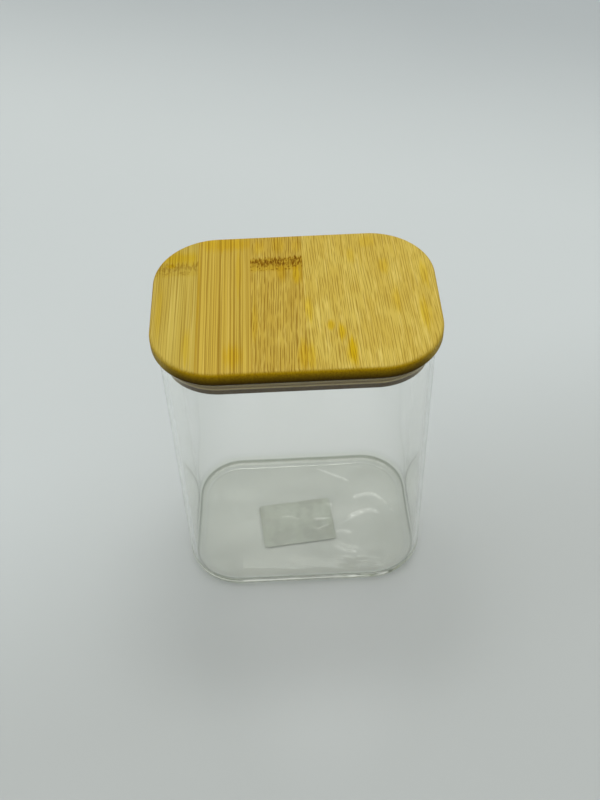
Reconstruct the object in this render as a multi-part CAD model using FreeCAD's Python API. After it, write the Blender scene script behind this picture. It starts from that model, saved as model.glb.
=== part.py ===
"""Rectangular glass jar with a press-in bamboo lid.

A one-piece blown glass jar stands on a narrow foot ring. Its lid is a board of two bamboo
plies glued together: the upper ply overhangs the rim, the lower ply is a plug that enters the
mouth. Each ply is made of staves glued edge to edge, and the joints of one ply fall between
the joints of the other. A silicone seal ring with two lips sits in a groove round the plug,
and a paper label is stuck under the base.

Frame: +Z up, X along the long side, origin on the floor under the middle of the jar.
All sizes are in millimetres.
"""

import FreeCAD, Part
import os

# Glass jar
JAR_WIDTH = 110.0  # outside, along X
JAR_DEPTH = 78.0  # outside, along Y
JAR_HEIGHT = 138.0  # floor to rim
JAR_CORNER = 25.0  # outside radius of the upright corners
WALL = 2.0
BASE_THICKNESS = 2.6  # glass over the recess
HEEL = 5.0  # outside radius where the wall turns into the base
INSIDE_HEEL = 3.2  # the same turn, inside
FOOT_LAND = 1.2  # width of the flat ring that the jar stands on
FOOT_RECESS = 0.8  # how far the middle of the base is raised off the floor
RECESS_SLOPE = 2.0  # width of the slope from the ring up to that height
RIM_ROUND = 0.7  # fire-polished edges of the rim

# Upper ply of the lid
OVERHANG_SIDE = 2.5  # past the glass, along X
OVERHANG_FRONT = 1.5  # past the glass, along Y
CORNER_EXTRA = 1.5  # lid corner radius over the jar's
UPPER_PLY = 7.0
TOP_ROUND = 1.6  # radius of the edge that a hand meets
UNDER_ROUND = 2.2  # radius of the edge above the glass

# Lower ply of the lid: the plug
LOWER_PLY = 8.1
PLUG_GAP = 1.0  # between the plug and the inside of the glass
PLUG_BEVEL = 0.8  # lead-in round the plug's lower edge

# Staves: with one fewer below, the joints of the two plies lie half a stave apart
STAVE_WIDTH = 21.4
STAVES_MIDDLE = 3.7  # X of the middle of both rows
UPPER_STAVES = 6
LOWER_STAVES = 5

# Seal ring and its groove
GROOVE_BELOW = 0.9  # wood left between the upper ply and the groove
GROOVE_HEIGHT = 3.6
GROOVE_DEPTH = 1.6
SEAL_FIT = 0.05  # between the ring and each face of its groove
LIP_COUNT = 2
LIP_THICKNESS = 0.9
LIP_ROUND = 0.3
LIP_GAP = 0.3  # between a lip and the glass

# Label under the base
LABEL_WIDTH = 35.0
LABEL_DEPTH = 25.0
LABEL_CORNER = 1.5
LABEL_THICKNESS = 0.12
LABEL_X = -3.2
LABEL_Y = -3.1
LABEL_TURN = 6.0  # degrees, as stuck on by hand

# Sizes that follow from the ones above
MOUTH_WIDTH = JAR_WIDTH - 2 * WALL
MOUTH_DEPTH = JAR_DEPTH - 2 * WALL
MOUTH_CORNER = JAR_CORNER - WALL
LID_WIDTH = JAR_WIDTH + 2 * OVERHANG_SIDE
LID_DEPTH = JAR_DEPTH + 2 * OVERHANG_FRONT
PLUG_WIDTH = MOUTH_WIDTH - 2 * PLUG_GAP
PLUG_DEPTH = MOUTH_DEPTH - 2 * PLUG_GAP
PLUG_CORNER = MOUTH_CORNER - PLUG_GAP
PLUG_BOTTOM = JAR_HEIGHT - LOWER_PLY
GROOVE_TOP = JAR_HEIGHT - GROOVE_BELOW
GROOVE_BOTTOM = GROOVE_TOP - GROOVE_HEIGHT


def outline(width, depth, corner, height):
    """A level rounded rectangle centred on the Z axis, as a closed wire."""
    x, y = width / 2, depth / 2
    a, b = x - corner, y - corner
    middle = corner * (1 - 0.5**0.5)  # from the rectangle's corner to the middle of an arc

    def point(px, py):
        return FreeCAD.Vector(px, py, height)

    sides = [
        ((-a, -y), (a, -y)),
        ((x, -b), (x, b)),
        ((a, y), (-a, y)),
        ((-x, b), (-x, -b)),
    ]
    arc_middles = [
        (x - middle, middle - y),
        (x - middle, y - middle),
        (middle - x, y - middle),
        (middle - x, middle - y),
    ]
    edges = []
    for n, (start, end) in enumerate(sides):
        next_start = sides[(n + 1) % len(sides)][0]
        edges.append(Part.makeLine(point(*start), point(*end)))
        arc = Part.Arc(point(*end), point(*arc_middles[n]), point(*next_start))
        edges.append(arc.toShape())
    return Part.Wire(edges)


def rounded_block(width, depth, corner, low, high):
    """A block centred on the Z axis, with upright corners of one radius."""
    face = Part.Face(outline(width, depth, corner, low))
    return face.extrude(FreeCAD.Vector(0, 0, high - low))


def inset_block(width, depth, corner, inset, low, high):
    """A rounded block whose outline lies inset from that of the sizes given."""
    return rounded_block(width - 2 * inset, depth - 2 * inset, corner - inset, low, high)


def edges_at(solid, height):
    """The edges that lie level at that height."""
    near = 1e-6
    return [
        edge
        for edge in solid.Edges
        if abs(edge.BoundBox.ZMin - height) < near and abs(edge.BoundBox.ZMax - height) < near
    ]


def glass_jar():
    """The jar: a shell with a rounded heel, a raised base and a fire-polished rim."""
    outside = rounded_block(JAR_WIDTH, JAR_DEPTH, JAR_CORNER, 0, JAR_HEIGHT)
    outside = outside.makeFillet(HEEL, edges_at(outside, 0))
    floor = FOOT_RECESS + BASE_THICKNESS
    inside = rounded_block(MOUTH_WIDTH, MOUTH_DEPTH, MOUTH_CORNER, floor, JAR_HEIGHT)
    inside = inside.makeFillet(INSIDE_HEEL, edges_at(inside, floor))
    shell = outside.cut(inside)
    shell = shell.makeFillet(RIM_ROUND, edges_at(shell, JAR_HEIGHT))
    return shell.cut(foot_recess())


def foot_recess():
    """What is pressed out of the base: a shallow dish with a flat middle."""
    rings = []
    for height, slope in ((0, 0), (FOOT_RECESS, RECESS_SLOPE)):
        inset = HEEL + FOOT_LAND + slope
        width, depth = JAR_WIDTH - 2 * inset, JAR_DEPTH - 2 * inset
        rings.append(outline(width, depth, JAR_CORNER - inset, height))
    return Part.makeLoft(rings, True, True)


def base_label():
    """The paper label, stuck to the raised middle of the base."""
    label = rounded_block(
        LABEL_WIDTH, LABEL_DEPTH, LABEL_CORNER, FOOT_RECESS - LABEL_THICKNESS, FOOT_RECESS
    )
    label.rotate(FreeCAD.Vector(0, 0, 0), FreeCAD.Vector(0, 0, 1), LABEL_TURN)
    label.translate(FreeCAD.Vector(LABEL_X, LABEL_Y, 0))
    return label


def upper_board():
    """The upper ply in one piece, before it is divided into staves."""
    top = JAR_HEIGHT + UPPER_PLY
    board = rounded_block(LID_WIDTH, LID_DEPTH, JAR_CORNER + CORNER_EXTRA, JAR_HEIGHT, top)
    board = board.makeFillet(UNDER_ROUND, edges_at(board, JAR_HEIGHT))
    return board.makeFillet(TOP_ROUND, edges_at(board, top))


def lower_board():
    """The plug in one piece, with the groove for the seal ring."""
    board = rounded_block(PLUG_WIDTH, PLUG_DEPTH, PLUG_CORNER, PLUG_BOTTOM, JAR_HEIGHT)
    board = board.makeChamfer(PLUG_BEVEL, edges_at(board, PLUG_BOTTOM))
    past = rounded_block(MOUTH_WIDTH, MOUTH_DEPTH, MOUTH_CORNER, GROOVE_BOTTOM, GROOVE_TOP)
    core = inset_block(
        PLUG_WIDTH, PLUG_DEPTH, PLUG_CORNER, GROOVE_DEPTH, GROOVE_BOTTOM, GROOVE_TOP
    )
    return board.cut(past.cut(core))


def staves(board, width, count):
    """The board's staves, from left to right. Those at its ends take up what is left over."""
    joints = [STAVES_MIDDLE + STAVE_WIDTH * (n - count / 2) for n in range(1, count)]
    ends = [-width / 2, *joints, width / 2]
    box = board.BoundBox
    pieces = []
    for left, right in zip(ends, ends[1:]):
        corner = FreeCAD.Vector(left, box.YMin, box.ZMin)
        slab = Part.makeBox(right - left, box.YLength, box.ZLength, corner)
        pieces.append(board.common(slab))
    return pieces


def seal_ring():
    """The silicone ring: a flat band in the groove with lips that reach for the glass."""
    low, high = GROOVE_BOTTOM + SEAL_FIT, GROOVE_TOP - SEAL_FIT
    ring = rounded_block(PLUG_WIDTH, PLUG_DEPTH, PLUG_CORNER, low, high)
    step = (high - low - LIP_THICKNESS) / (LIP_COUNT - 1)
    for n in range(LIP_COUNT):
        foot = low + n * step
        top = foot + LIP_THICKNESS
        lip = inset_block(MOUTH_WIDTH, MOUTH_DEPTH, MOUTH_CORNER, LIP_GAP, foot, top)
        lip = lip.makeFillet(LIP_ROUND, edges_at(lip, foot) + edges_at(lip, top))
        ring = ring.fuse(lip)
    hole = inset_block(
        PLUG_WIDTH, PLUG_DEPTH, PLUG_CORNER, GROOVE_DEPTH - SEAL_FIT, low, high
    )
    return ring.cut(hole)


def main():
    """Write one STEP file for each piece."""
    pieces = {"glass_jar": glass_jar(), "base_label": base_label(), "seal_ring": seal_ring()}
    for n, stave in enumerate(staves(upper_board(), LID_WIDTH, UPPER_STAVES), 1):
        pieces[f"top_stave_{n}"] = stave
    for n, stave in enumerate(staves(lower_board(), PLUG_WIDTH, LOWER_STAVES), 1):
        pieces[f"plug_stave_{n}"] = stave
    os.makedirs("parts", exist_ok=True)
    for name, shape in pieces.items():
        (solid,) = shape.Solids
        solid.exportStep(f"parts/{name}.step")
        box = solid.optimalBoundingBox()
        size = f"{box.XLength:.2f} x {box.YLength:.2f} x {box.ZLength:.2f} mm"
        print(f"{name}: {size}, {solid.Volume:.0f} mm3, valid {solid.isValid()}")


main()
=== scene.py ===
# %% [markdown]
# # A glass storage jar with a press-in bamboo lid
#
# The jar is a single blown glass shell with upright sides, generous corners and a rounded heel.
# Its lid is a board of bamboo: six staves glued side by side on top, and a plug of five more
# below, with a silicone ring round the plug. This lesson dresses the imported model, which already
# has every piece in its place. The staves, the ring and the label keep their meshes and get a
# finish. The glass is made again, because light passes through it and shows every facet and
# every lack of one: the real base is faintly rippled, and that takes a much finer mesh.

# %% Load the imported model
import math

import bmesh
import bpy
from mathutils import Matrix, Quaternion, Vector, noise


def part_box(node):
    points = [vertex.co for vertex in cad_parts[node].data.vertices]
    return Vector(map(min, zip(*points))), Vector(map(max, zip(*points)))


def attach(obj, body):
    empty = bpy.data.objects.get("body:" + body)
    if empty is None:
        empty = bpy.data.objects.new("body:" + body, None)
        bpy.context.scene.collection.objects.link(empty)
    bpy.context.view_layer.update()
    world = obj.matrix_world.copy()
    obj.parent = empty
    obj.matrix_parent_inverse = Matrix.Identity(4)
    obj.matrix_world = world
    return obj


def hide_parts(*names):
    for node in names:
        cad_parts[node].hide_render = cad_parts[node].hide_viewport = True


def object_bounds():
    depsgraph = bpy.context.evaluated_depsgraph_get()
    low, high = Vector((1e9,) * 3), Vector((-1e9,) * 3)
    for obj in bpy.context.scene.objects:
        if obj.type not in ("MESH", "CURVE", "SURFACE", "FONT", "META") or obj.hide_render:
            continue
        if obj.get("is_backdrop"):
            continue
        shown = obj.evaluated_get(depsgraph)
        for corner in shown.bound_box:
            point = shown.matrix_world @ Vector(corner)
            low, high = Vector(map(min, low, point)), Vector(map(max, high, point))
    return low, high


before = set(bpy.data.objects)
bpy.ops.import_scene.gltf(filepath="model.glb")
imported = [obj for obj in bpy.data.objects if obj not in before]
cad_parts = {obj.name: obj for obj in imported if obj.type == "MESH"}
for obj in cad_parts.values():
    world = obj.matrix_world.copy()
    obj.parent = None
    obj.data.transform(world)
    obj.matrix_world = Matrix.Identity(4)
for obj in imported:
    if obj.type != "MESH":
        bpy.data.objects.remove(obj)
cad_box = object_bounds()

MM = 0.001
print("nodes:", sorted(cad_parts))
print("whole object:", [[round(value / MM, 2) for value in corner] for corner in cad_box], "mm")

# %% [markdown]
# ## The camera
#
# A camera is set by what it looks at, how far round and how high it stands, and how far away it
# is. The aim lies at half the jar's height and a little behind its middle: the lid is nearer to
# the camera than the base, looks larger, and moves the middle of the outline upwards. A tall
# object seen from close by shows strong perspective: here the base looks much narrower than the
# lid, so the distance has to be right before anything else. `to_track_quat` turns the camera's
# back, its local Z, along a direction, and a last small turn about that same axis leans the view.

# %% Place the camera
AIM = Vector((0.56, 12.83, 71.90)) * MM
CAMERA_DISTANCE = 486.7 * MM
CAMERA_HEIGHT_ANGLE = math.radians(47.17)
CAMERA_SIDE_ANGLE = math.radians(-0.60)
CAMERA_LEAN = math.radians(-2.17)
LENS_LENGTH = 48.04  # in mm, as the sensor is
SENSOR_WIDTH = 36


def direction(side_angle, height_angle):
    """From the object outwards: side angle 0 is the front, and positive angles go to the right."""
    level = math.cos(height_angle)
    return Vector(
        (math.sin(side_angle) * level, -math.cos(side_angle) * level, math.sin(height_angle))
    )


back = direction(CAMERA_SIDE_ANGLE, CAMERA_HEIGHT_ANGLE)
camera_data = bpy.data.cameras.new("camera")
camera_data.lens = LENS_LENGTH
camera_data.sensor_width = SENSOR_WIDTH
camera = bpy.data.objects.new("camera", camera_data)
camera.location = AIM + back * CAMERA_DISTANCE
camera.rotation_mode = "QUATERNION"
camera.rotation_quaternion = back.to_track_quat("Z", "Y") @ Quaternion((0, 0, 1), CAMERA_LEAN)
bpy.context.scene.collection.objects.link(camera)
bpy.context.scene.camera = camera
print("camera at", [round(value / MM) for value in camera.location], "mm")

# %% [markdown]
# ## The glass: one shell from one cube
#
# The real jar is blown into a mould: an even wall that follows one outline from rim to heel, and
# a base pressed up in the middle so that it stands on a ring. A Solidify modifier could give the
# wall, but the base is thicker than the wall, and the foot is a shape of its own. So the shell
# is cut from a cube, as a potter would hollow a block: round the upright corners, draw the top
# face inwards to the wall's thickness, push it down to the inside floor, then round the edges.
# Bevel with a profile of 0.5 gives true arcs, and each bevel is done while the edges it needs
# are still easy to find by their height.

# %% Cut the outside and the inside of the shell
CORNER = 25 * MM
CORNER_STEPS = 24
WALL = 2 * MM
BASE_THICKNESS = 2.6 * MM
FOOT_RECESS = 0.8 * MM
INSIDE_FLOOR = FOOT_RECESS + BASE_THICKNESS
NEAR = 0.01 * MM  # two heights that differ by less are the same

glass_low, glass_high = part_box("glass_jar")
glass_size = glass_high - glass_low
RIM = glass_high.z
shell = bmesh.new()
bmesh.ops.create_cube(shell, size=1)
bmesh.ops.scale(shell, vec=glass_size, verts=shell.verts)
bmesh.ops.translate(shell, vec=(glass_low + glass_high) / 2, verts=shell.verts)


def round_edges(mesh, edges, radius, steps):
    """Bevel edges to an arc of that radius, in that many steps."""
    bmesh.ops.bevel(
        mesh, geom=edges, offset=radius, offset_type="OFFSET", segments=steps,
        profile=0.5, affect="EDGES", material=-1,
    )


def is_level(face, height):
    """Whether the whole face lies at that height."""
    return all(abs(vert.co.z - height) < NEAR for vert in face.verts)


def level_face(mesh, height):
    """The largest face that lies level at that height."""
    return max((f for f in mesh.faces if is_level(f, height)), key=lambda f: f.calc_area())


def draw_in(mesh, height, width):
    """Inset the level face at that height, which leaves a rim of that width round it."""
    bmesh.ops.inset_region(
        mesh, faces=[level_face(mesh, height)], thickness=width, use_even_offset=True
    )


def sink(mesh, face, height):
    """Extrude one level face straight up or down to a height."""
    moved = bmesh.ops.extrude_discrete_faces(mesh, faces=[face])["faces"][0]
    bmesh.ops.translate(mesh, vec=(0, 0, height - moved.verts[0].co.z), verts=moved.verts)


upright = [e for e in shell.edges if abs(e.verts[0].co.z - e.verts[1].co.z) > WALL]
round_edges(shell, upright, CORNER, CORNER_STEPS)
draw_in(shell, RIM, WALL)
sink(shell, level_face(shell, RIM), INSIDE_FLOOR)
print("shell:", len(shell.faces), "faces, hollow down to", round(INSIDE_FLOOR / MM, 2), "mm")

# %% [markdown]
# The rim of a blown jar is fire-polished: a flame melts its two sharp edges round. The heel is
# the outside turn from wall to base, and the same turn inside has a smaller radius. Both are
# loops of edges at one height, so they are found by height alone. Under the base, one inset
# leaves the narrow ring that the jar stands on, and a second one leaves a short slope up to the
# middle, which is then lifted off the floor.

# %% Round the rim and the heel, and press the foot
HEEL = 5 * MM
HEEL_STEPS = 10
INSIDE_HEEL = 3.2 * MM
INSIDE_HEEL_STEPS = 8
RIM_ROUND = 0.7 * MM
RIM_STEPS = 5
FOOT_LAND = 1.2 * MM
RECESS_SLOPE = 2 * MM


def loop_at(mesh, height):
    """The edges round every level face at that height."""
    return [
        edge
        for edge in mesh.edges
        if all(abs(vert.co.z - height) < NEAR for vert in edge.verts)
        and not all(is_level(face, height) for face in edge.link_faces)
    ]


round_edges(shell, loop_at(shell, INSIDE_FLOOR), INSIDE_HEEL, INSIDE_HEEL_STEPS)
round_edges(shell, loop_at(shell, RIM), RIM_ROUND, RIM_STEPS)
round_edges(shell, loop_at(shell, glass_low.z), HEEL, HEEL_STEPS)
draw_in(shell, glass_low.z, FOOT_LAND)
draw_in(shell, glass_low.z, RECESS_SLOPE)
middle = level_face(shell, glass_low.z)
bmesh.ops.translate(shell, vec=(0, 0, FOOT_RECESS), verts=middle.verts)
print("shell:", len(shell.faces), "faces,", "closed:", all(e.is_manifold for e in shell.edges))

# %% [markdown]
# ## Ripples in the base
#
# Glass that cools in a mould is never flat. The base of this jar has a shallow swell and a few
# sharper creases, mostly in its right half, and each crease catches a line of light. A bump
# texture could draw those lines, but it only tilts the shading: the exported mesh would be flat,
# and the glass would look flat from the side. So the mesh itself carries them. `bisect_plane`
# slices the shell into a fine grid: right through it between the rounded corners, where the
# walls need the cuts too, and through the inside floor alone beside the corners.

# %% Slice the shell into a fine grid
GRID = 0.65 * MM
RING_HEIGHT = 6 * MM
CUT_TOLERANCE = 1e-7


def slice_up(mesh, geometry, axis, low, high, step):
    """Cut geometry with evenly spaced planes square to an axis."""
    count = round((high - low) / step)
    for n in range(count + 1):
        place = Vector((0, 0, 0))
        place[axis] = low + (high - low) * n / count
        normal = Vector((0, 0, 0))
        normal[axis] = 1
        geometry = bmesh.ops.bisect_plane(
            mesh, geom=geometry, dist=CUT_TOLERANCE, plane_co=place, plane_no=normal
        )["geom"]


def everything(mesh):
    """All of a mesh, as bmesh operators ask for it."""
    return mesh.verts[:] + mesh.edges[:] + mesh.faces[:]


def inside_floor(mesh):
    """The faces of the inside floor, with their edges and corners."""
    faces = [face for face in mesh.faces if is_level(face, INSIDE_FLOOR)]
    edges = dict.fromkeys(edge for face in faces for edge in face.edges)
    verts = dict.fromkeys(vert for face in faces for vert in face.verts)
    return [*verts, *edges, *faces]


LEVEL = Vector((1, 1, 0))
straight = glass_size / 2 - LEVEL * CORNER
short_of_the_heel = GRID / 3
floor_reach = glass_size / 2 - LEVEL * (WALL + INSIDE_HEEL + short_of_the_heel)
slice_up(shell, everything(shell), 0, -straight.x, straight.x, GRID)
slice_up(shell, everything(shell), 1, -straight.y, straight.y, GRID)
slice_up(shell, everything(shell), 2, HEEL + RING_HEIGHT, RIM - 2 * WALL, RING_HEIGHT)
for side in (-1, 1):
    for axis in (0, 1):
        low, high = sorted((side * (straight[axis] + GRID), side * floor_reach[axis]))
        slice_up(shell, inside_floor(shell), axis, low, high, GRID)
print("shell:", len(shell.faces), "faces after slicing")

# %% [markdown]
# Bevel gives its new faces in an order that changes from one run to the next. Nothing in the
# scene shows it, but two exports of the same jar would differ as files. So the faces are sorted
# by their corners, whose own order never changes, and every run gives the same mesh.

# %% Put the faces in a fixed order
def by_corners(face):
    """A number from a face's three lowest corners, which no other face shares."""
    low, middle, high = sorted(vert.index for vert in face.verts)[:3]
    return (low * len(shell.verts) + middle) * len(shell.verts) + high


shell.verts.index_update()
shell.faces.sort(key=by_corners)
print("sorted:", len(shell.faces), "faces")

# %% [markdown]
# A crease is a low ridge along a line: its height falls off as a bell curve with the distance
# from the line. Each one is written as its steepest slope, its width and the points it runs
# through, because the slope decides what light it catches: where a mirror leans forwards by 5
# degrees, it shows what lies 10 degrees higher up behind it. The swell under them is smooth
# noise, rougher to the right. Everything fades out towards the heel, so the turn of the glass
# stays clean. The walls get a swell too, on the inside only and a two-hundredth as deep as the
# wall is thick, which is just enough to make straight lines behind the jar waver.

# %% Raise the creases and the swell
CREASES = (  # steepest slope in degrees, width in mm, then points (x, y) in mm
    (10.5, 0.9, ((8.7, 29.6), (14.7, 26.6), (22.1, 22.2), (25.5, 20.0), (24.3, 16.9))),
    (10.0, 1.2, ((26.4, 11.0), (30.0, 12.3), (34.5, 12.6), (38.4, 10.9), (41.1, 7.6),
                 (43.4, 5.0), (44.6, 1.8))),
    (8.5, 1.2, ((23.1, 0.4), (27.2, 1.7), (31.2, 2.6), (35.2, 2.3), (38.0, 0.3), (39.7, -2.2),
                (41.5, -4.8))),
    (6.0, 1.2, ((17.5, -5.2), (22.5, -1.6), (27.2, 1.0))),
    (8.0, 1.3, ((41.5, -6.8), (41.9, -10.3), (42.4, -15.7), (41.3, -21.5), (39.0, -25.4))),
    (5.0, 1.5, ((19.0, -27.6), (20.4, -30.0), (23.0, -31.0))),
    (8.0, 0.8, ((24.5, -27.6), (28.0, -28.2), (33.0, -27.4))),
    (5.0, 1.4, ((33.0, -29.6), (36.5, -28.6), (40.0, -26.0))),
    (2.5, 1.4, ((-6.0, -25.4), (-2.2, -27.2), (8.4, -28.7), (17.0, -29.2))),
    (7.0, 1.2, ((15.2, -18.0), (19.6, -21.0), (24.2, -21.7))),
    (7.0, 0.9, ((-9.8, 0.3), (-5.8, 0.5), (-2.7, -1.1))),
    (7.0, 0.9, ((4.2, -5.4), (6.4, -8.0), (12.1, -4.9))),
    (9.0, 0.9, ((12.4, 7.4), (16.2, 5.7), (16.0, 1.2), (12.2, -2.0), (5.2, -1.6))),
    (8.0, 1.1, ((16.1, -9.5), (18.9, -9.1), (21.9, -10.3))),
    (5.0, 1.6, ((14.0, 33.0), (27.0, 31.5), (36.0, 27.0))),
    (3.0, 1.6, ((-16.6, 17.2), (-10.2, 15.3), (-3.8, 12.9))),
    (12.0, 0.8, ((-45.2, 16.3), (-44.4, 14.7))),
)
CREASE_REACH = 4  # in widths
SWELL = 0.10 * MM
SWELL_SIZE = 14 * MM
RIGHT_SWELL = 2.6  # how much is added to the swell at the right
RIGHT_PLACE = 30 * MM
FADE = 4 * MM


def limited(value):
    """A value kept between 0 and 1."""
    return min(max(value, 0), 1)


def distance_to_line(point, line):
    """How far a point is from a line of straight runs."""
    distances = []
    for start, end in zip(line, line[1:]):
        run = end - start
        share = limited((point - start).dot(run) / run.length_squared)
        distances.append((point - start - run * share).length)
    return min(distances)


STEEPEST = math.exp(-0.5)  # a bell curve's steepest slope, for a height and a width of 1
creases = [
    (math.tan(math.radians(slope)) * width / STEEPEST * MM, width * MM,
     [Vector(point) * MM for point in line])
    for slope, width, line in CREASES
]


def floor_share(plan):
    """1 over most of the inside floor, falling smoothly to 0 where the heel begins."""
    past = Vector([max(abs(plan[i]) - straight[i], 0) for i in (0, 1)])
    margin = min(
        floor_reach.x - abs(plan.x),
        floor_reach.y - abs(plan.y),
        CORNER - WALL - INSIDE_HEEL - past.length,
        FADE,
    )
    share = max(margin, 0) / FADE
    return share * share * (3 - 2 * share)


heights = []
for vert in shell.verts:
    if abs(vert.co.z - INSIDE_FLOOR) > NEAR:
        continue
    rougher = 1 + RIGHT_SWELL * limited(vert.co.x / RIGHT_PLACE)
    raised = SWELL * rougher * noise.noise(vert.co / SWELL_SIZE)
    for height, width, line in creases:
        away = distance_to_line(vert.co.xy, line) / width
        if away < CREASE_REACH:
            raised += height * math.exp(-away * away / 2)
    heights.append(raised * floor_share(vert.co.xy))
    vert.co.z += heights[-1]
print("base ripples from", round(min(heights) / MM, 3), "to", round(max(heights) / MM, 3), "mm")

# %% Raise a swell on the inside of the walls
WALL_SWELL = 0.01 * MM
WALL_SWELL_SIZE = 17 * MM
UPRIGHT_LEAN = 0.1  # how far the normal of an upright wall may point up or down

bmesh.ops.recalc_face_normals(shell, faces=shell.faces)
shell.normal_update()
swollen = 0
for vert in shell.verts:
    faces_inwards = vert.normal.xy.dot(vert.co.xy) < 0
    margin = min(vert.co.z - INSIDE_FLOOR - INSIDE_HEEL, RIM - WALL - vert.co.z)
    if faces_inwards and margin > 0 and abs(vert.normal.z) < UPRIGHT_LEAN:
        swell = WALL_SWELL * noise.noise(vert.co / WALL_SWELL_SIZE)
        vert.co += vert.normal * swell * limited(margin / FADE)
        swollen += 1
print("wall swell:", swollen, "points moved by less than", round(WALL_SWELL / MM, 3), "mm")

# %% [markdown]
# A mesh becomes an object by being written into one. Every face is shaded smooth. A plain smooth
# normal is the average of the faces round a corner, and where a long flat face meets the first
# narrow strip of a bevel that average would make the flat face look domed. The Weighted Normal
# modifier lets the larger face decide instead.

# %% Make the glass piece
def object_from(name, mesh):
    """Write a bmesh into a new object of the scene."""
    data = bpy.data.meshes.new(name)
    mesh.to_mesh(data)
    mesh.free()
    made = bpy.data.objects.new(name, data)
    bpy.context.scene.collection.objects.link(made)
    return made


glass = object_from("jar_glass", shell)
glass.data.shade_smooth()
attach(glass, "jar")
weighted = glass.modifiers.new("weighted normals", "WEIGHTED_NORMAL")
weighted.mode = "FACE_AREA"
weighted.weight = 50
weighted.keep_sharp = False
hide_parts("glass_jar")
print("glass:", len(glass.data.polygons), "faces")

# %% [markdown]
# ## How the materials are wired
#
# Every finish below is a network of shader nodes that reads Object coordinates, so a pattern
# stays fixed to its piece when the lid lifts. One short helper adds a node, sets its properties
# and joins its inputs, which keeps each network readable as a list of steps. The ones after it
# are the steps that come back all the time: a sum, a soft threshold, a mixed colour, and noise
# drawn out along one direction.

# %% Helpers for node networks
def feed(tree, node, inputs):
    """Join a node's inputs to other nodes, or set them to plain values, by name or number."""
    for name, value in inputs.items():
        if isinstance(value, bpy.types.NodeSocket):
            tree.links.new(value, node.inputs[name])
        else:
            node.inputs[name].default_value = value


def put(tree, kind, inputs=None, **settings):
    """Add a node, set its properties and feed its inputs."""
    node = tree.nodes.new("ShaderNode" + kind)
    for name, value in settings.items():
        setattr(node, name, value)
    feed(tree, node, inputs or {})
    return node


def calculate(tree, operation, *values):
    """A Math node's result."""
    return put(tree, "Math", dict(enumerate(values)), operation=operation).outputs[0]


def calculate_vector(tree, operation, *values):
    """A Vector Math node's result."""
    return put(tree, "VectorMath", dict(enumerate(values)), operation=operation).outputs[0]


def length_of(tree, vector):
    """How long a vector is."""
    return put(tree, "VectorMath", {0: vector}, operation="LENGTH").outputs["Value"]


def axes_of(tree, vector):
    """A vector's X, Y and Z."""
    return put(tree, "SeparateXYZ", {0: vector}).outputs


def ramp(tree, value, start, end, low=0.0, high=1.0):
    """Turn a value between start and end smoothly into one between low and high."""
    inputs = {"Value": value, "From Min": start, "From Max": end, "To Min": low, "To Max": high}
    return put(tree, "MapRange", inputs, interpolation_type="SMOOTHSTEP").outputs[0]


def blend_colours(tree, share, first, second, how="MIX"):
    """Mix two colours."""
    node = put(tree, "Mix", {0: share, 6: first, 7: second}, data_type="RGBA", blend_type=how)
    return node.outputs[2]


def grain_noise(tree, position, scale, detail=2.0, roughness=0.5):
    """Noise whose scale differs along X, Y and Z, in cycles per millimetre."""
    stretched = calculate_vector(tree, "MULTIPLY", position, scale)
    inputs = {"Vector": stretched, "Scale": 1.0, "Detail": detail, "Roughness": roughness}
    return put(tree, "TexNoise", inputs).outputs["Fac"]


# %% [markdown]
# An effect that several materials share goes into a node group, which has named inputs and
# outputs and is placed in each material with its own values. The others are written straight
# into their material. Sizes are easier to think about in millimetres, so each material starts
# with a Mapping node that scales the Object coordinates, and a bump's depth is in millimetres
# too.

# %% Helpers for node groups and materials
def new_group(name, inputs, outputs):
    """An empty node group and its input values."""
    tree = bpy.data.node_groups.new(name, "ShaderNodeTree")
    for label, (kind, value) in inputs.items():
        socket = tree.interface.new_socket(label, in_out="INPUT", socket_type="NodeSocket" + kind)
        if value is not None:
            socket.default_value = value
    for label, kind in outputs.items():
        tree.interface.new_socket(label, in_out="OUTPUT", socket_type="NodeSocket" + kind)
    return tree, tree.nodes.new("NodeGroupInput").outputs


def give_out(tree, results):
    """Join a node group's results to its outputs."""
    feed(tree, tree.nodes.new("NodeGroupOutput"), results)
    print(f"{tree.name}: {len(tree.nodes)} nodes")


def use_group(tree, group, inputs):
    """Place a node group and feed its inputs."""
    return put(tree, "Group", inputs, node_tree=group).outputs


def new_material(name):
    """A material with its Principled shader, and Object coordinates in millimetres."""
    material = bpy.data.materials.new(name)
    material.use_nodes = True
    tree = material.node_tree
    surface = tree.nodes["Principled BSDF"]
    inputs = {"Vector": put(tree, "TexCoord").outputs["Object"], "Scale": (1 / MM,) * 3}
    position = put(tree, "Mapping", inputs).outputs[0]
    return material, tree, surface, position


def add_relief(tree, surface, height, strength, depth):
    """Tilt a surface's shading by a height map, whose full depth is in millimetres."""
    inputs = {"Height": height, "Strength": strength, "Distance": depth * MM}
    feed(tree, surface, {"Normal": put(tree, "Bump", inputs).outputs[0]})


def dress(piece, material):
    """Give a piece a material in place of the one it came with."""
    if piece.data.materials:
        piece.data.materials[0] = material
    else:
        piece.data.materials.append(material)
    print(f"{piece.name}: {material.name}, {len(material.node_tree.nodes)} nodes")


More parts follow.
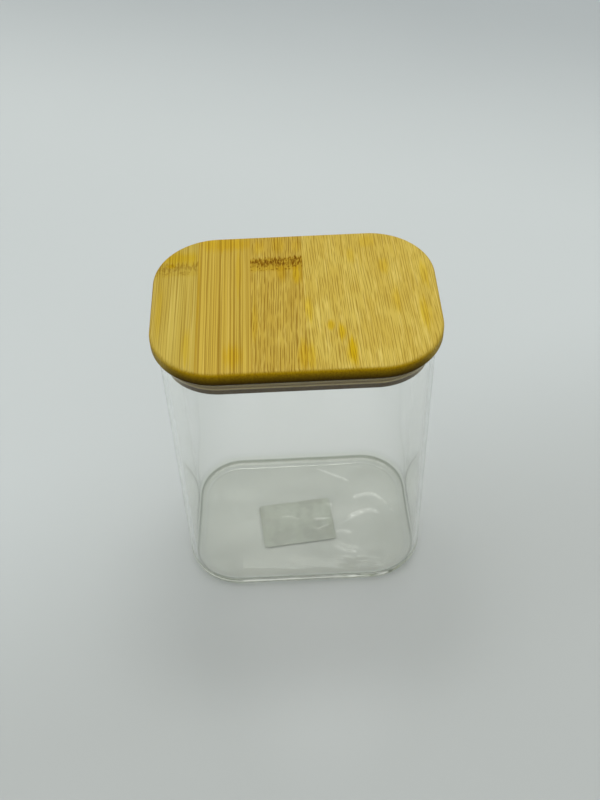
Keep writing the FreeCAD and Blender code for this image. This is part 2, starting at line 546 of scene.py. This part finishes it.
# %% [markdown]
# ## Clear glass
#
# Clear glass is a Principled shader with Transmission Weight at 1 and no roughness at all. It
# isn't quite colourless: every millimetre takes a little light, and more of the blue and red
# than of the green. A wall of 2 mm hardly shows it. A ray that is mirrored along inside the base
# crosses ten times that or more, and comes out a little olive, as it does at the foot of every
# such jar. A Volume Absorption node does just that, on a closed mesh.
#
# Two tints are painted shade. The base is tinted a little darker than the wall, for the lid's
# shadow on the floor beneath it and the light that the base mirrors away, and the tight turn at
# the heel a good deal darker, for the dark ring that the heel's refraction and the contact shadow
# under it give. The turn is found by its height and by how level its normal is; Absolute makes
# that the same from inside the glass and from outside.
#
# A ray tracer finds light behind glass slowly, through caustics, so the floor under the jar
# would come out dark and noisy. The usual cure is to let shadow rays and diffuse rays pass
# straight through a Transparent shader that takes off what the glass would: more where they
# graze it, more at the heel, and a little in faint folds across the base. Each Light Path output
# goes directly into a Mix Shader of its own.

# %% Glass material
CLEAR = (1.0, 1.0, 1.0, 1)
# Painted shade: a slightly darker tint for the base, and a much darker one for the heel's dark
# ring.
BASE_SHADE_TINT = (0.943, 0.956, 0.9, 1)
HEEL_SHADE_TINT = (0.34, 0.37, 0.30, 1)
IN_THE_FOLDS = (0.3, 0.32, 0.3, 1)
GRAZED = (0.1, 0.1, 0.1, 1)
GRAZED_LOSS = 0.5
HEEL_LOSS = 0.6
FOLD_LOSS = 0.12
GLASS_IOR = 1.48
GLASS_ABSORPTION = {"Color": (0.67, 0.715, 0.57, 1), "Density": 20.0}

glass_material, tree, surface, position = new_material("clear_glass")
height = axes_of(tree, position)[2]
normal = put(tree, "TexCoord").outputs["Normal"]
level = calculate(tree, "ABSOLUTE", axes_of(tree, normal)[2])
base = ramp(tree, height, (INSIDE_FLOOR + INSIDE_HEEL) / MM, INSIDE_FLOOR / MM)
turn = calculate(tree, "MULTIPLY", ramp(tree, level, 0.56, 0.66), ramp(tree, level, 0.97, 0.76))
turn = calculate(tree, "MULTIPLY", turn, ramp(tree, height, 3.0, 2.6))
# The base and heel tints are painted shade.
colour = blend_colours(tree, base, CLEAR, BASE_SHADE_TINT)
colour = blend_colours(tree, turn, colour, HEEL_SHADE_TINT)
inputs = {"Base Color": colour, "Roughness": 0.0, "IOR": GLASS_IOR, "Transmission Weight": 1.0}
feed(tree, surface, inputs)

edge_on = put(tree, "LayerWeight", {"Blend": 0.5}).outputs["Facing"]
lost = calculate(tree, "MULTIPLY", calculate(tree, "POWER", edge_on, 5.0), GRAZED_LOSS)
passed = blend_colours(tree, lost, CLEAR, GRAZED)
folds = grain_noise(tree, position, (0.035, 0.09, 0.1), detail=3.0, roughness=0.6)
folds = calculate(tree, "MULTIPLY", ramp(tree, folds, 0.35, 0.7, 0.0, FOLD_LOSS), base)
passed = blend_colours(tree, folds, passed, IN_THE_FOLDS)
passed = blend_colours(tree, calculate(tree, "MULTIPLY", turn, HEEL_LOSS), passed, HEEL_SHADE_TINT)
pass_through = put(tree, "BsdfTransparent", {"Color": passed}).outputs[0]

shader = surface.outputs[0]
light_path = put(tree, "LightPath").outputs
for kind in ("Is Shadow Ray", "Is Diffuse Ray"):
    shader = put(tree, "MixShader", {0: light_path[kind], 1: shader, 2: pass_through}).outputs[0]
absorption = put(tree, "VolumeAbsorption", GLASS_ABSORPTION).outputs[0]
feed(tree, tree.nodes["Material Output"], {"Surface": shader, "Volume": absorption})
dress(glass, glass_material)

# %% [markdown]
# ## Bamboo: the fibres
#
# Bamboo has no growth rings. Its wood is pale pith with darker bundles of fibre that run along
# the stem, packed closely near the skin and further apart inside. A stave cut flat, with the
# skin upwards, shows the bundles as fine dark dashes, because the surface cuts in and out of
# them. A stave cut on edge shows them as lines that run its whole length. Both are the same
# material seen from two sides, so the pattern is a solid one: noise drawn out along Y, and only
# as wide as a bundle across. On top it gives dashes or lines, and where a stave ends it gives
# dots, as the real wood does. One group makes it for every stave, from a seed, the lean and
# bend of the grain, and how long a bundle stays at the surface.

# %% Node group: bamboo fibres
SHIFT_PER_SEED = 37.3
BUNDLE_PITCH = 1.05
THREAD_PITCH = 0.66

fibres, given = new_group(
    "bamboo fibres",
    {
        "Position": ("Vector", None),
        "Seed": ("Float", 0.0),
        "Lean": ("Float", 0.0),
        "Bend": ("Float", 0.0),
        "Length": ("Float", 20.0),
    },
    {"Dark": "Float", "Pale": "Float", "Tone": "Float"},
)
axes = axes_of(fibres, given["Position"])
shift = calculate(fibres, "MULTIPLY", given["Seed"], SHIFT_PER_SEED)
bend = grain_noise(fibres, given["Position"], (0.018, 0.018, 0.018), detail=1.0)
lean = calculate(fibres, "MULTIPLY_ADD", axes[1], given["Lean"], axes[0])
across = calculate(fibres, "MULTIPLY_ADD", bend, given["Bend"], lean)
across = calculate(fibres, "ADD", across, shift)
along = calculate(fibres, "DIVIDE", axes[1], given["Length"])
along = calculate(fibres, "ADD", along, shift)
grain = put(fibres, "CombineXYZ", {0: across, 1: along, 2: axes[2]}).outputs[0]


def stripes(tree, grain, across, pitch, thickness, start, full):
    """Lines along the grain, uneven in spacing, that come and go along their length."""
    shaken = grain_noise(tree, grain, (0.3, 0.25, 0.7), detail=1.0)
    place = calculate(tree, "MULTIPLY_ADD", shaken, 2.6, calculate(tree, "DIVIDE", across, pitch))
    off = calculate(tree, "PINGPONG", place, 0.5)
    line = ramp(tree, off, thickness * 0.2, thickness, 1.0, 0.0)
    shows = ramp(tree, grain_noise(tree, grain, (0.9 / pitch, 1.5, 0.8), detail=1.0), start, full)
    return calculate(tree, "MULTIPLY", line, shows)


bundles = stripes(fibres, grain, across, BUNDLE_PITCH, thickness=0.24, start=0.36, full=0.56)
threads = stripes(fibres, grain, across, THREAD_PITCH, thickness=0.30, start=0.40, full=0.60)
dark = calculate(fibres, "MAXIMUM", bundles, calculate(fibres, "MULTIPLY", threads, 0.7))
pale = ramp(fibres, grain_noise(fibres, grain, (1.1, 0.9, 0.5), detail=2.0), 0.52, 0.68)
tone = ramp(fibres, grain_noise(fibres, grain, (0.16, 0.8, 0.05), detail=2.0), 0.35, 0.65)
give_out(fibres, {"Dark": dark, "Pale": pale, "Tone": tone})

# %% [markdown]
# ## Bamboo: the knots and the stains
#
# A bamboo stem is closed by a wall at every joint, and a stave cut across one shows it as a
# narrow band of brown ticks and crosses, where the bundles cross over, with smaller dots below
# and a flush of amber round it. Two zigzag lines of different pitch, laid over each other and
# shaken sideways by noise, give the crosses, and the middles of Voronoi cells give the dots.
# Away from the knots the wood has soft stains, darker and yellower, longer than they are wide.
# A stain is a group of its own with a place and a size, so a material can have as many as it
# needs.

# %% Node group: bamboo knot
DOTS = (-3.4, -2.4, 0.0, 0.8)  # in mm from the knot's middle: start, full, fade and end
FLUSH = (-4.5, -1.8, 3.6, 6.0)

knot, given = new_group(
    "bamboo knot",
    {"Position": ("Vector", None), "Place": ("Float", 0.0), "Seed": ("Float", 0.0)},
    {"Marks": "Float", "Flush": "Float"},
)
axes = axes_of(knot, given["Position"])
wander = grain_noise(knot, given["Position"], (0.2, 0.0, 0.05), detail=1.0)
height = calculate(knot, "SUBTRACT", axes[1], given["Place"])
height = calculate(knot, "MULTIPLY_ADD", wander, 1.6, calculate(knot, "SUBTRACT", height, 0.8))


def window(tree, value, start, full, fade, end):
    """1 between full and fade, and 0 outside start and end."""
    rise = ramp(tree, value, start, full)
    return calculate(tree, "MULTIPLY", rise, ramp(tree, value, fade, end, 1.0, 0.0))


def zigzag(tree, across, height, pitch, top, bottom, thickness):
    """A line that runs up and down between two heights, once in each pitch."""
    swing = calculate(tree, "PINGPONG", across, pitch / 2)
    line = calculate(tree, "MULTIPLY_ADD", swing, (bottom - top) / (pitch / 2), top)
    off = calculate(tree, "ABSOLUTE", calculate(tree, "SUBTRACT", height, line))
    return ramp(tree, off, thickness * 0.3, thickness, 1.0, 0.0)


jitter = grain_noise(knot, given["Position"], (0.55, 0.1, 0.2), detail=2.0)
across = calculate(knot, "MULTIPLY_ADD", jitter, 2.6, axes[0])
broken = grain_noise(knot, given["Position"], (0.8, 0.5, 0.3), detail=1.0)
broken = ramp(knot, broken, 0.38, 0.5, 0.25)
falling = zigzag(knot, across, height, pitch=2.1, top=4.8, bottom=0.4, thickness=1.9)
across_again = calculate(knot, "MULTIPLY", across, 0.83)
rising = zigzag(knot, across_again, height, pitch=1.8, top=0.6, bottom=4.0, thickness=1.6)
crosses = calculate(knot, "MAXIMUM", falling, calculate(knot, "MULTIPLY", rising, 0.8))
crosses = calculate(knot, "MULTIPLY", crosses, broken)
spot = put(knot, "CombineXYZ", {0: across, 1: height, 2: given["Seed"]}).outputs[0]
squashed = calculate_vector(knot, "MULTIPLY", spot, (0.8, 0.6, 1.0))
cells = put(knot, "TexVoronoi", {"Vector": squashed, "Scale": 1.0}, feature="F1")
dots = ramp(knot, cells.outputs["Distance"], 0.25, 0.5, 1.0, 0.0)
dots = calculate(knot, "MULTIPLY", dots, window(knot, height, *DOTS))
marks = calculate(knot, "MAXIMUM", crosses, calculate(knot, "MULTIPLY", dots, 0.7))
give_out(knot, {"Marks": marks, "Flush": window(knot, height, *FLUSH)})

# %% Node group: stain
stain, given = new_group(
    "bamboo stain",
    {"Position": ("Vector", None), "Centre": ("Vector", None), "Reach": ("Vector", None)},
    {"Mask": "Float"},
)
offset = calculate_vector(stain, "SUBTRACT", given["Position"], given["Centre"])
away = length_of(stain, calculate_vector(stain, "DIVIDE", offset, given["Reach"]))
streaky = grain_noise(stain, given["Position"], (1.1, 0.05, 0.3), detail=2.0)
away = calculate(stain, "MULTIPLY_ADD", streaky, 1.6, calculate(stain, "SUBTRACT", away, 1.05))
give_out(stain, {"Mask": ramp(stain, away, 0.1, 1.1, 1.0, 0.0)})

# %% [markdown]
# ## Bamboo: the colour and the varnish
#
# The last group turns the masks into colour. Each mask multiplies the wood's own colour by a
# tint, which keeps the hue of every stave under its lines and stains. End grain drinks varnish
# and goes dark, so it is found by the surface's own normal: the ends of the staves face along Y,
# and the long sides take part of the same colour. It is speckled by the pores that are cut
# across. The edge colour also carries painted shade: it darkens towards the bottom of the upper
# board, and again on the faces that look down, where the lid shades itself. The plug's edge has
# a dark brown of its own, which is painted shade for the shadow it sits in under the lid.
# A thin line of glue shows where two staves meet, if their grain differs. Satin varnish lies
# over all of it, a little rougher where the fibres stand up, and the same masks feed a Bump node
# for the fibres' relief.

# %% Node group: bamboo finish
finish, given = new_group(
    "bamboo finish",
    {
        "Position": ("Vector", None),
        "Normal": ("Vector", None),
        "Wood": ("Color", None),
        "Dark": ("Float", 0.0),
        "Pale": ("Float", 0.0),
        "Tone": ("Float", 0.0),
        "Stain": ("Float", 0.0),
        "Flush": ("Float", 0.0),
        "Marks": ("Float", 0.0),
        "Glue": ("Float", 0.0),
    },
    {"Color": "Color", "Roughness": "Float", "Height": "Float"},
)
TINTS = {
    "Tone": (0.92, 0.88, 0.75, 1),
    "Pale": (1.12, 1.16, 1.45, 1),
    "Stain": (1.0, 0.90, 0.055, 1),
    "Flush": (0.93, 0.88, 0.43, 1),
    "Dark": (0.44, 0.34, 0.12, 1),
    "Glue": (0.55, 0.42, 0.25, 1),
    "Marks": (0.43, 0.28, 0.005, 1),
}
# The end grain's colour at the top of the edge, then painted shade: the near-black that the edge
# darkens to at the bottom, and the dark brown of the plug's edge.
EDGE_TOP = (0.44, 0.27, 0.002, 1)
EDGE_LOW_SHADE = (0.026, 0.014, 0.0005, 1)
EDGE_PLUG_SHADE = (0.08, 0.045, 0.002, 1)
SPECKLE = 0.45
ROUGHNESS = 0.40
BOARD_TOP = cad_box[1].z / MM
BOARD_LOW = RIM / MM

colour = given["Wood"]
for mask, tint in TINTS.items():
    colour = blend_colours(finish, given[mask], colour, tint, "MULTIPLY")
facing = axes_of(finish, given["Normal"])
ends = ramp(finish, calculate(finish, "ABSOLUTE", facing[1]), 0.3, 0.9)
sides = ramp(finish, calculate(finish, "ABSOLUTE", facing[0]), 0.3, 1.0, 0.0, 0.55)
# Painted shade: faces of the upper board that look down are darker.
below = ramp(finish, facing[2], -0.2, -0.9, 0.0, 0.6)
height = axes_of(finish, given["Position"])[2]
board = ramp(finish, height, BOARD_LOW - 0.1, BOARD_LOW)
below = calculate(finish, "MULTIPLY", below, board)
edge = calculate(finish, "MAXIMUM", calculate(finish, "MAXIMUM", ends, sides), below)
# Painted shade: the edge darkens from its top towards the bottom of the upper board.
inputs = {"Value": height, "From Min": BOARD_LOW + 0.3, "From Max": BOARD_TOP - 0.7}
level = calculate(finish, "POWER", put(finish, "MapRange", inputs).outputs[0], 2.0)
edge_grain_and_shade = blend_colours(finish, level, EDGE_LOW_SHADE, EDGE_TOP)
# Painted shade: the plug's edge, below the rim, takes a dark brown for the shadow under the lid.
edge_grain_and_shade = blend_colours(finish, board, EDGE_PLUG_SHADE, edge_grain_and_shade)
pores = grain_noise(finish, given["Position"], (1.3, 0.4, 1.1), detail=2.0)
speckle = calculate(finish, "MAXIMUM", given["Dark"], ramp(finish, pores, 0.48, 0.62))
speckle = calculate(finish, "MULTIPLY", speckle, SPECKLE)
edge_grain_and_shade = blend_colours(finish, speckle, edge_grain_and_shade, TINTS["Dark"], "MULTIPLY")
colour = blend_colours(finish, edge, colour, edge_grain_and_shade)
rough = calculate(finish, "MULTIPLY_ADD", given["Dark"], 0.10, ROUGHNESS)
rough = calculate(finish, "MULTIPLY_ADD", edge, 0.15, rough)
rough = calculate(finish, "MULTIPLY_ADD", given["Marks"], 0.12, rough)
sunken = calculate(finish, "MULTIPLY_ADD", given["Marks"], 1.5, given["Dark"])
relief = calculate(finish, "MULTIPLY", sunken, -1.0)
give_out(finish, {"Color": colour, "Roughness": rough, "Height": relief})

# %% [markdown]
# ## Dress the staves
#
# The six upper staves were not cut from one stem. The first is flat-cut with a faint knot near
# its back end, the second is cut on edge, the third is flat-cut across a strong knot, and the
# last three match so well that their joints can hardly be seen, so they share a seed. Each
# stave's entry below gives its wood, its seed, its lean, its knot, its strongest lines and its
# stains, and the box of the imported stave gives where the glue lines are.

# %% A bamboo material
STAIN_DEPTH = 9
VARNISH_GLOSS = 0.04


def nearest_line(tree, x_place, lines):
    """Where X comes near one of the lines, each given as (x, half width, depth)."""
    found = 0.0
    for x, half_width, depth in lines:
        off = calculate(tree, "ABSOLUTE", calculate(tree, "SUBTRACT", x_place, x))
        line = ramp(tree, off, half_width * 0.3, half_width, depth, 0.0)
        found = calculate(tree, "MAXIMUM", found, line)
    return found


def bamboo(name, wood, seed, dark=1.0, lean=0.0, bend=2.0, length=20.0, knot_place=None,
           knot_depth=0.0, lines=(), stains=(), glue=()):
    """A bamboo material. Stains are (x, y, half width, half length, depth) in mm."""
    material, tree, surface, position = new_material(name)
    inputs = {"Position": position, "Seed": seed, "Lean": lean, "Bend": bend, "Length": length}
    grain = use_group(tree, fibres, inputs)
    x_place = axes_of(tree, position)[0]
    waver = grain_noise(tree, position, (0.02, 0.05, 0.0), detail=1.0)
    strong = nearest_line(tree, calculate(tree, "MULTIPLY_ADD", waver, 0.8, x_place), lines)
    darkness = calculate(tree, "MAXIMUM", calculate(tree, "MULTIPLY", grain["Dark"], dark), strong)
    masks = {"Dark": darkness, "Pale": grain["Pale"], "Tone": grain["Tone"]}
    if knot_place is not None:
        band = use_group(tree, knot, {"Position": position, "Place": knot_place, "Seed": seed})
        masks["Marks"] = calculate(tree, "MULTIPLY", band["Marks"], knot_depth)
        masks["Flush"] = calculate(tree, "MULTIPLY", band["Flush"], knot_depth)
    stained = 0.0
    for x, y, half_width, half_length, depth in stains:
        centre, reach = (x, y, BOARD_TOP), (half_width, half_length, STAIN_DEPTH)
        inputs = {"Position": position, "Centre": centre, "Reach": reach}
        mask = use_group(tree, stain, inputs)["Mask"]
        stained = calculate(tree, "MAXIMUM", stained, calculate(tree, "MULTIPLY", mask, depth))
    masks["Stain"] = stained
    masks["Glue"] = nearest_line(tree, x_place, glue)
    normal = put(tree, "TexCoord").outputs["Normal"]
    inputs = {"Position": position, "Normal": normal, "Wood": wood, **masks}
    finished = use_group(tree, finish, inputs)
    inputs = {"Base Color": finished["Color"], "Roughness": finished["Roughness"],
              "Specular IOR Level": VARNISH_GLOSS}
    feed(tree, surface, inputs)
    add_relief(tree, surface, finished["Height"], strength=0.4, depth=0.04)
    return material


# %% Upper staves
MATCHED = dict(wood=(0.635, 0.475, 0.09, 1), seed=4.0, lean=0.035, bend=1.5, length=15.0)
EDGE_CUT_LINES = ((-37.6, 0.4, 0.55), (-34.8, 0.4, 0.65), (-33.0, 0.3, 0.35), (-29.6, 0.45, 0.75),
                  (-27.7, 0.35, 0.4), (-25.3, 0.4, 0.65), (-23.8, 0.4, 0.65), (-21.5, 0.45, 0.7),
                  (-19.0, 0.35, 0.4))
UPPER = (
    dict(wood=(0.575, 0.43, 0.08, 1), seed=1.0, dark=0.58, bend=1.0, length=70.0,
         knot_place=20.1, knot_depth=0.48,
         lines=((-47.0, 0.3, 0.3), (-43.5, 0.3, 0.35)),
         stains=((-48, 28, 10, 5, 0.8), (-50.5, 23.5, 2.5, 1.8, 0.9),
                 (-42.7, -25, 1.8, 10, 0.5), (-54, -4, 1.5, 16, 0.4))),
    dict(wood=(0.60, 0.42, 0.062, 1), seed=2.0, dark=0.7, bend=0.3, length=160.0,
         lines=EDGE_CUT_LINES,
         stains=((-27, 36, 12, 5, 0.7), (-25, -31, 4, 7, 0.7), (-39.2, 5, 1.2, 45, 0.5),
                 (-22.6, 18, 1.3, 16, 0.4))),
    dict(wood=(0.575, 0.405, 0.066, 1), seed=3.0, dark=0.85, lean=-0.02, bend=1.5, length=14.0,
         knot_place=21.0, knot_depth=1.0,
         stains=((-5, 16, 2.5, 5, 0.6), (1.4, 15, 2.4, 6, 0.8), (-14, 33, 3, 5, 0.5),
                 (-6, 34, 2.5, 5, 0.5), (1.7, 33, 2, 5, 0.4), (-16, -12, 1.6, 12, 0.5),
                 (2.2, -32, 2.5, 8, 0.7))),
    dict(dark=0.72,
         stains=((4.8, -6, 2.2, 8, 0.6), (13.4, -16, 1.6, 3, 0.8), (17.6, -20, 1.6, 5, 0.9),
                 (20.8, -31, 2.4, 8, 1.0), (5.0, -32, 2.0, 7, 0.6), (24, 25, 2, 5, 0.4)),
         **MATCHED),
    dict(dark=0.62,
         stains=((36.5, 18, 2.2, 5, 0.5), (40, -3, 1.8, 9, 0.5), (31, 34, 4, 4, 0.4)),
         **MATCHED),
    dict(dark=0.55, stains=((50.5, -11, 2.4, 9, 0.6), (52.5, 12, 2, 8, 0.5)), **MATCHED),
)
GLUE_HALF_WIDTH = 0.25
GLUE_DEPTH = 0.6
MATCHED_GLUE_DEPTH = 0.1
LAST_JOINT = cad_box[1].x / MM - 1  # a side further out than this is the board's own end

for n, look in enumerate(UPPER, 1):
    depth = MATCHED_GLUE_DEPTH if look["wood"] == MATCHED["wood"] else GLUE_DEPTH
    joints = [side.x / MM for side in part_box(f"top_stave_{n}") if abs(side.x / MM) < LAST_JOINT]
    glue = [(joint, GLUE_HALF_WIDTH, depth) for joint in joints]
    dress(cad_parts[f"top_stave_{n}"], bamboo(f"bamboo_top_{n}", glue=glue, **look))
    print("  joints at", [round(joint, 2) for joint in joints], "mm")

# %% [markdown]
# The plug is made of the same wood, plainer, and its joints fall between those above. Two
# materials, one flat-cut and one cut on edge, are enough for it, and the staves take turns.

# %% Plug staves
PLUG_STAVES = 5
PLUG_WOOD = (0.52, 0.38, 0.075, 1)

plug_looks = [
    bamboo("bamboo_plug_flat", wood=PLUG_WOOD, seed=7.0, lean=0.03),
    bamboo("bamboo_plug_edge", wood=PLUG_WOOD, seed=8.0, length=160.0),
]
for n in range(1, PLUG_STAVES + 1):
    dress(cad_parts[f"plug_stave_{n}"], plug_looks[n % len(plug_looks)])

# %% [markdown]
# ## Silicone ring
#
# The ring is cloudy silicone, neither white nor clear. Its colours are painted shade: a dark
# brown for the shadow it sits in under the lid and the warm light the bamboo throws on it, where
# the silicone itself is much paler. Light goes a few millimetres into it and takes on the colour
# of the wood behind, which Subsurface Weight imitates. It is faintly dusty, because silicone
# holds lint, so its roughness varies with a fine noise.

# %% Silicone material
# Painted shade: both silicone colours are darkened and browned for the shade under the lid.
SHADED_THIN_SILICONE = (0.34, 0.26, 0.085, 1)
SHADED_THICK_SILICONE = (0.39, 0.30, 0.105, 1)
LINT = (0.7, 0.68, 0.6, 1)
LIGHT_INSIDE = {
    "Subsurface Weight": 0.3,
    "Subsurface Radius": (1.0, 0.9, 0.7),
    "Subsurface Scale": 2 * MM,
}

silicone, tree, surface, position = new_material("cloudy_silicone")
cloud = grain_noise(tree, position, (0.15, 0.15, 0.4), detail=3.0)
lint = ramp(tree, grain_noise(tree, position, (2.5, 2.5, 2.5), detail=2.0), 0.6, 0.75)
colour = blend_colours(tree, cloud, SHADED_THIN_SILICONE, SHADED_THICK_SILICONE)
colour = blend_colours(tree, calculate(tree, "MULTIPLY", lint, 0.3), colour, LINT)
rough = calculate(tree, "MULTIPLY_ADD", lint, 0.2, 0.35)
feed(tree, surface, {"Base Color": colour, "Roughness": rough, **LIGHT_INSIDE})
add_relief(tree, surface, calculate(tree, "ADD", cloud, lint), strength=0.2, depth=0.05)
dress(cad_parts["seal_ring"], silicone)

# %% [markdown]
# ## Label
#
# The label under the base is left bare. Bare paper isn't one white: its fibres clump into a
# faint cloud, its surface is matt with a tooth that a raking light shows, and glue greys it in
# patches where it has wetted the glass.

# %% Paper material
THIN_PAPER = (0.46, 0.50, 0.445, 1)
THICK_PAPER = (0.57, 0.61, 0.545, 1)
GLUED_PAPER = (0.42, 0.44, 0.40, 1)

paper, tree, surface, position = new_material("bare_paper")
clump = grain_noise(tree, position, (0.35, 0.35, 1.0), detail=4.0, roughness=0.6)
tooth = grain_noise(tree, position, (4.0, 4.0, 4.0), detail=2.0)
wetted = ramp(tree, grain_noise(tree, position, (0.12, 0.12, 1.0), detail=2.0), 0.45, 0.6)
colour = blend_colours(tree, clump, THIN_PAPER, THICK_PAPER)
colour = blend_colours(tree, calculate(tree, "MULTIPLY", wetted, 0.5), colour, GLUED_PAPER)
rough = calculate(tree, "MULTIPLY_ADD", tooth, 0.2, 0.7)
feed(tree, surface, {"Base Color": colour, "Roughness": rough})
add_relief(tree, surface, tooth, strength=0.3, depth=0.03)
dress(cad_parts["base_label"], paper)

# %% [markdown]
# ## The floor
#
# The jar stands on a pale board. The board's colour carries painted shade, as a room's light
# leaves it: it falls off towards the front and again far away, and a faint mottle keeps it from
# looking printed. Close to the jar it is paler, mostly behind it: painted light, since the real
# glass throws light on the floor, and the straight path that shadow rays take through the glass
# leaves that out.
# Under the back of the base it is a little darker, because light from behind has to cross the
# heel to get there.

# %% Floor
FLOOR_REACH = 4.0
floor_mesh = bmesh.new()
bmesh.ops.create_grid(floor_mesh, x_segments=8, y_segments=8, size=FLOOR_REACH)
floor = object_from("floor", floor_mesh)
floor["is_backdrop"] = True
print("floor:", round(2 * FLOOR_REACH, 1), "m across")

# %% Floor material
# Painted shade: the board is darker towards the front and far away; the lit and shaded ovals near
# the jar are painted light and painted shade.
SHADED_FRONT_BOARD = (0.475, 0.502, 0.486, 1)
BACK_BOARD = (0.59, 0.63, 0.62, 1)
SHADED_FAR_BOARD = (0.41, 0.445, 0.447, 1)
LIT_BOARD = (0.9, 0.93, 0.92, 1)
SHADED_BOARD = (0.3, 0.32, 0.3, 1)
PALEST_BOARD = (1.0, 1.0, 1.0, 1)
SLANT = 0.35
LIT_OVAL = ((1.5, 0.55, 0.0), (-6.0, -25.0, 0.0))  # its stretch, then its shift in mm
LIT_DEPTH = 0.26
UNDER_OVAL = ((0.45, 1.0, 0.0), (-2.0, -26.0, 0.0))
SHADE_DEPTH = 0.23
MOTTLE_DEPTH = 0.06


def away_from_oval(tree, position, stretch, shift):
    """How far a place is from an oval's middle, once a stretch has made the oval round."""
    return length_of(tree, calculate_vector(tree, "MULTIPLY_ADD", position, stretch, shift))


board, tree, surface, position = new_material("pale_board")
axes = axes_of(tree, position)
# Painted shade towards the front, and again far away.
across_light = calculate(tree, "MULTIPLY_ADD", axes[0], -SLANT, axes[1])
colour = blend_colours(tree, ramp(tree, across_light, -90.0, 95.0), SHADED_FRONT_BOARD, BACK_BOARD)
far = calculate(tree, "MULTIPLY_ADD", axes[0], SLANT, axes[1])
colour = blend_colours(tree, ramp(tree, far, 280.0, 620.0), colour, SHADED_FAR_BOARD)
lit = away_from_oval(tree, position, *LIT_OVAL)
colour = blend_colours(tree, ramp(tree, lit, 110.0, 40.0, 0.0, LIT_DEPTH), colour, LIT_BOARD)
under = away_from_oval(tree, position, *UNDER_OVAL)
under = calculate(tree, "MULTIPLY", ramp(tree, under, 32.0, 6.0), ramp(tree, axes[1], 38.0, 33.0))
under = calculate(tree, "MULTIPLY", under, SHADE_DEPTH)
colour = blend_colours(tree, under, colour, SHADED_BOARD)
mottle = grain_noise(tree, position, (0.006, 0.006, 0.006), detail=3.0)
mottle = calculate(tree, "MULTIPLY", mottle, MOTTLE_DEPTH)
colour = blend_colours(tree, mottle, colour, PALEST_BOARD)
feed(tree, surface, {"Base Color": colour, "Roughness": 0.6, "Specular IOR Level": 0.1})
dress(floor, board)

# %% [markdown]
# ## The light
#
# A soft lamp stands behind the jar, high up, and gives the lid's shade a direction. The world
# does the rest. It is pale overhead, darker towards the floor so that the glass has something to
# draw its outline with, and a little dimmer in front, so that the front edge of the lid is its
# darkest side. Behind the jar it has a skylight: a wide strip high up, about five times as
# bright as the rest, with a soft lower edge. The world's Generated coordinates are the direction
# that is looked in, so a height of 0.82 is the sine of 55 degrees.
#
# The skylight is there for the base of the jar. Seen from the camera, a level mirror on the
# floor shows what lies about 55 degrees up behind it, where the strip has hardly begun. So the
# base is grey wherever it is flat, and every crease that leans a few degrees forwards draws a
# white stroke. Light that is mirrored along inside the heel needs many bounces to get out, so
# the limits are raised. The Standard view transform shows every colour about as it is written.

# %% Lamp
LAMP_RADIANCE = 3.5
LAMP_WIDTH = 0.42
LAMP_DEPTH = 0.25
LAMP_DISTANCE = 1.25
LAMP_SIDE_ANGLE = math.radians(170)
LAMP_HEIGHT_ANGLE = math.radians(74)

lamp_data = bpy.data.lights.new("soft_lamp", "AREA")
lamp_data.shape = "RECTANGLE"
lamp_data.size = LAMP_WIDTH
lamp_data.size_y = LAMP_DEPTH
lamp_data.energy = LAMP_RADIANCE * math.pi * LAMP_WIDTH * LAMP_DEPTH
lamp = bpy.data.objects.new("soft_lamp", lamp_data)
away = direction(LAMP_SIDE_ANGLE, LAMP_HEIGHT_ANGLE)
lamp.location = away * LAMP_DISTANCE
lamp.rotation_mode = "QUATERNION"
lamp.rotation_quaternion = away.to_track_quat("Z", "Y")
bpy.context.scene.collection.objects.link(lamp)
print("lamp at", [round(value / MM) for value in lamp.location], "mm")

# %% World
LOW_DOWN = (0.28, 0.29, 0.29, 1)
OVERHEAD = (0.885, 0.895, 0.895, 1)
FRONT_DIMMER = 0.85
SKYLIGHT = 3.6
SKYLIGHT_LOWER_EDGE = (0.82, 0.915)  # heights at which it begins and is full
SKYLIGHT_UPPER_EDGE = (0.96, 0.935)
SKYLIGHT_FRONT_EDGE = (0.15, 0.35)

world = bpy.data.worlds.new("pale_room")
bpy.context.scene.world = world
world.use_nodes = True
room = world.node_tree
_, backwards, upwards = axes_of(room, put(room, "TexCoord").outputs["Generated"])
colour = blend_colours(room, ramp(room, upwards, 0.0, 0.6), LOW_DOWN, OVERHEAD)
dimmer = ramp(room, backwards, -0.85, 0.15, FRONT_DIMMER, 1.0)
colour = blend_colours(room, 1.0, colour, dimmer, "MULTIPLY")
lower_edge = calculate(room, "POWER", ramp(room, upwards, *SKYLIGHT_LOWER_EDGE), 2.0)
upper_edge = ramp(room, upwards, *SKYLIGHT_UPPER_EDGE, 0.0, SKYLIGHT)
front_edge = ramp(room, backwards, *SKYLIGHT_FRONT_EDGE)
skylight = calculate(room, "MULTIPLY", lower_edge, upper_edge)
skylight = calculate(room, "MULTIPLY", skylight, front_edge)
colour = blend_colours(room, 1.0, colour, skylight, "ADD")
feed(room, room.nodes["Background"], {"Color": colour})
print(f"{world.name}: {len(room.nodes)} nodes")

# %% Colours as written, and enough bounces
bpy.context.scene.view_settings.view_transform = "Standard"
light_paths = bpy.context.scene.cycles
light_paths.max_bounces = 32
light_paths.transmission_bounces = 32
light_paths.glossy_bounces = 24
print("bounces:", light_paths.max_bounces)

# %% Write the sizes and finish
boxes = {"cad": cad_box, "visual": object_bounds()}
boxes = {name: [list(corner) for corner in box] for name, box in boxes.items()}
print(boxes)
